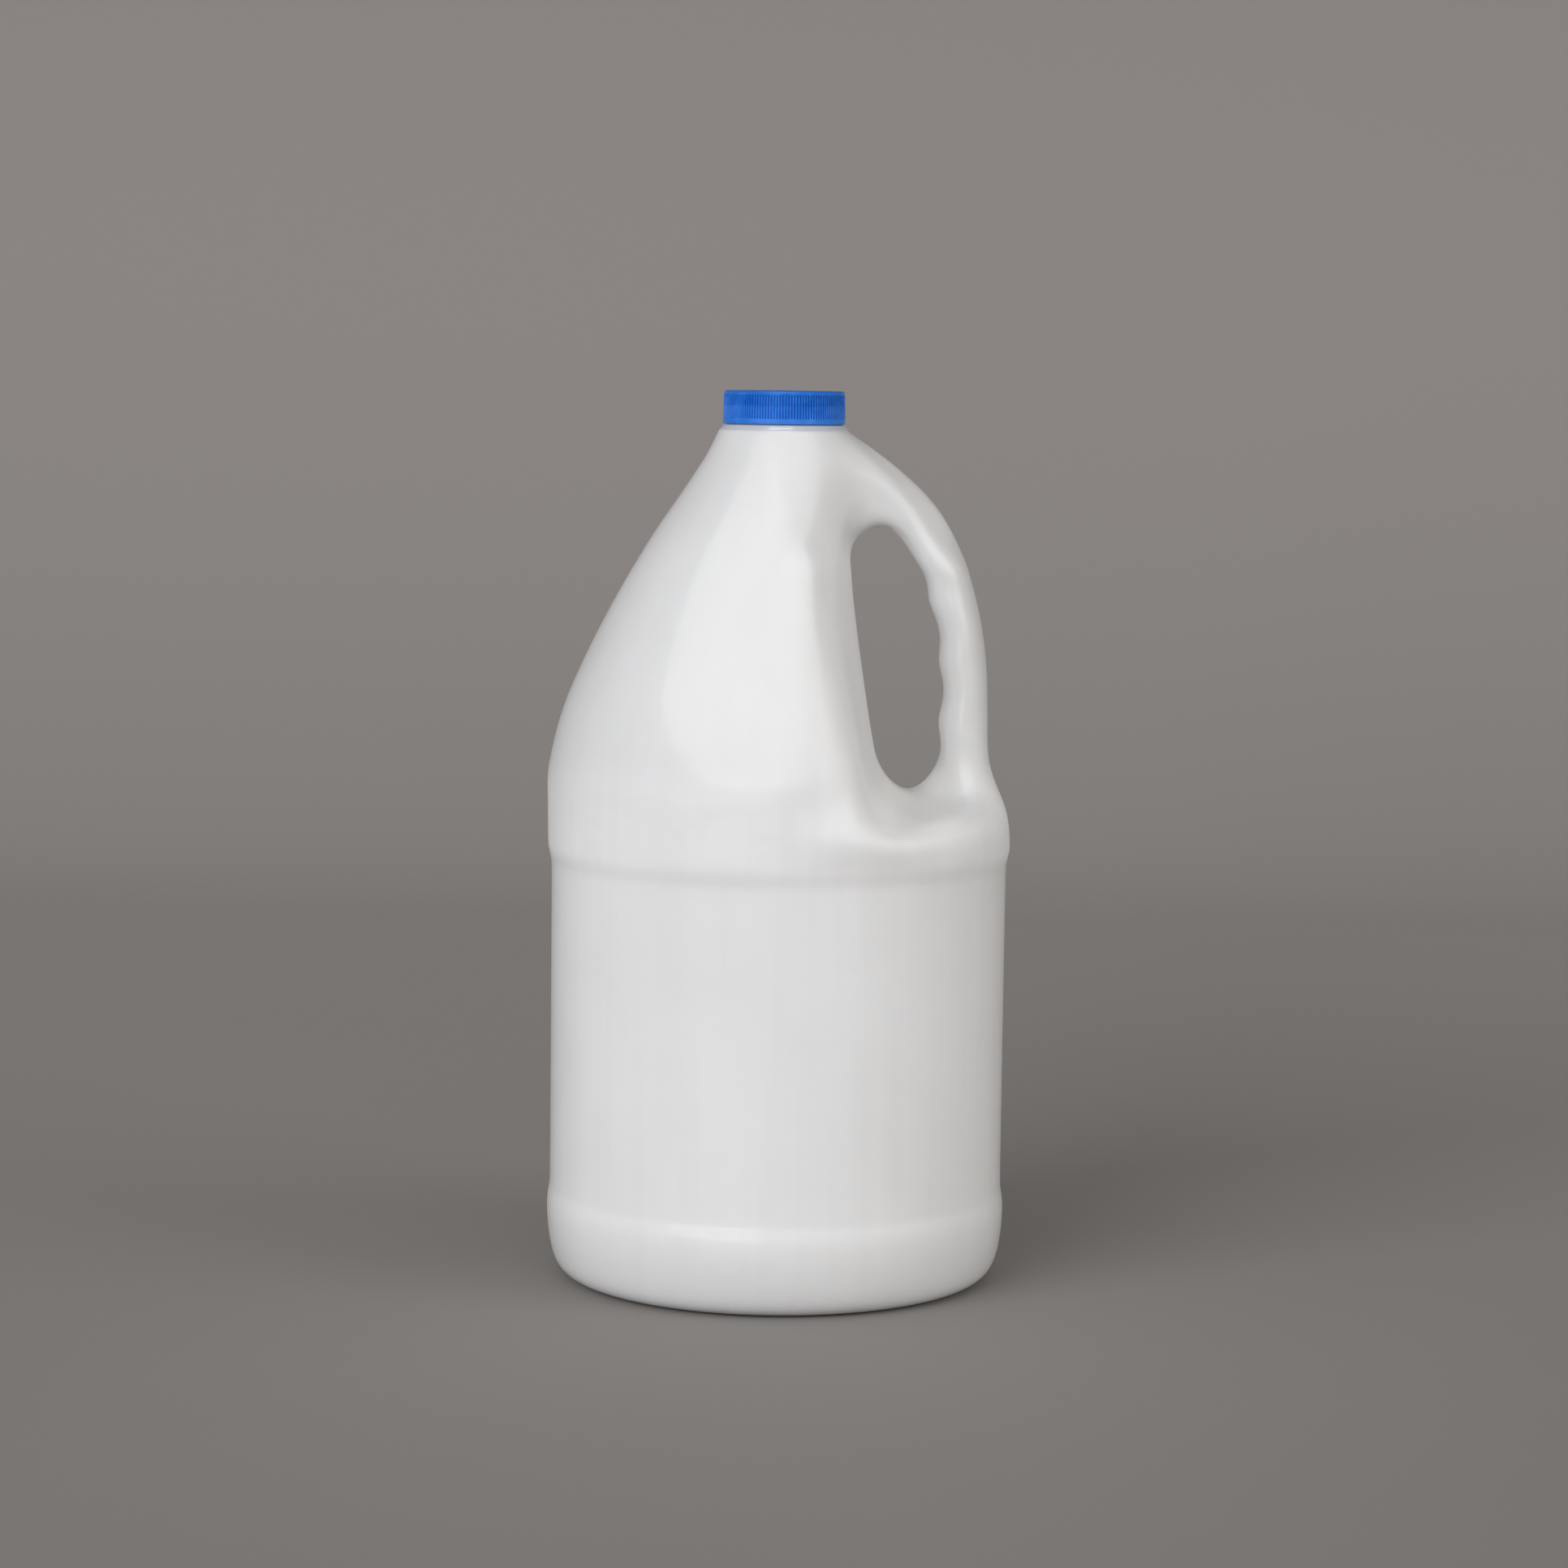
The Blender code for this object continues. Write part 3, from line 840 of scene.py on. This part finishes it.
def makeFloor(values):
    material, place, finish = newMaterial("floorPaper", {"Roughness": values["paperRoughness"]})
    _, y, z = place.axes()
    start, end = values["paperSpan"]
    uneven = (place.noise(values["paperNoise"]) - 0.5) * values["paperUneven"]
    share = (y + z - start) / (end - start) + uneven
    # Painted light and shade along the paper's length
    finish("Base Color", share.node("ShaderNodeValToRGB", {"stops": values["paperPaintedLight"]}, {0: share}))
    bm = bmesh.new()
    size = values["floorHalf"]
    front = bmesh.ops.create_grid(bm, x_segments=1, y_segments=1, size=size)["verts"]
    for vert in front:
        if vert.co.y > 0:
            vert.co.y = values["sweepStart"]
    edge = [e for e in bm.edges if all(v.co.y > 0 for v in e.verts)]
    middleLine = (0.0, values["sweepStart"], values["sweepRadius"])
    swept = bmesh.ops.spin(
        bm, geom=edge, cent=middleLine, axis=(1.0, 0.0, 0.0), angle=math.pi / 2, steps=values["sweepSteps"]
    )["geom_last"]
    last = [e for e in swept if isinstance(e, bmesh.types.BMEdge)]
    up = bmesh.ops.extrude_edge_only(bm, edges=last)["geom"]
    raised = [v for v in up if isinstance(v, bmesh.types.BMVert)]
    bmesh.ops.translate(bm, verts=raised, vec=(0.0, 0.0, values["sweepHeight"]))
    return newPiece("floorSweep", bm, material)


def makeLight(name, outline, place, target, width, depth, watts, colour, onlyGloss):
    lamp = bpy.data.lights.new(name, "AREA")
    lamp.shape = outline
    lamp.size = width
    lamp.size_y = depth
    lamp.energy = watts
    lamp.color = colour
    light = bpy.data.objects.new(name, lamp)
    bpy.context.scene.collection.objects.link(light)
    light.visible_camera = False
    light.visible_glossy = onlyGloss
    light.visible_diffuse = not onlyGloss
    away = Vector(target) - Vector(place)
    light.matrix_world = Matrix.Translation(place) @ away.to_track_quat("-Z", "Y").to_matrix().to_4x4()


def makeAir(values):
    world = bpy.data.worlds.new("air")
    world.use_nodes = True
    background = world.node_tree.nodes["Background"]
    background.inputs["Color"].default_value = values["air"]
    background.inputs["Strength"].default_value = values["airStrength"]
    bpy.context.scene.world = world
    bpy.context.scene.view_settings.view_transform = "Standard"


makeFloor(studio)
for name, values in lights.items():
    makeLight(name, *values)
makeAir(studio)
print("studio made")
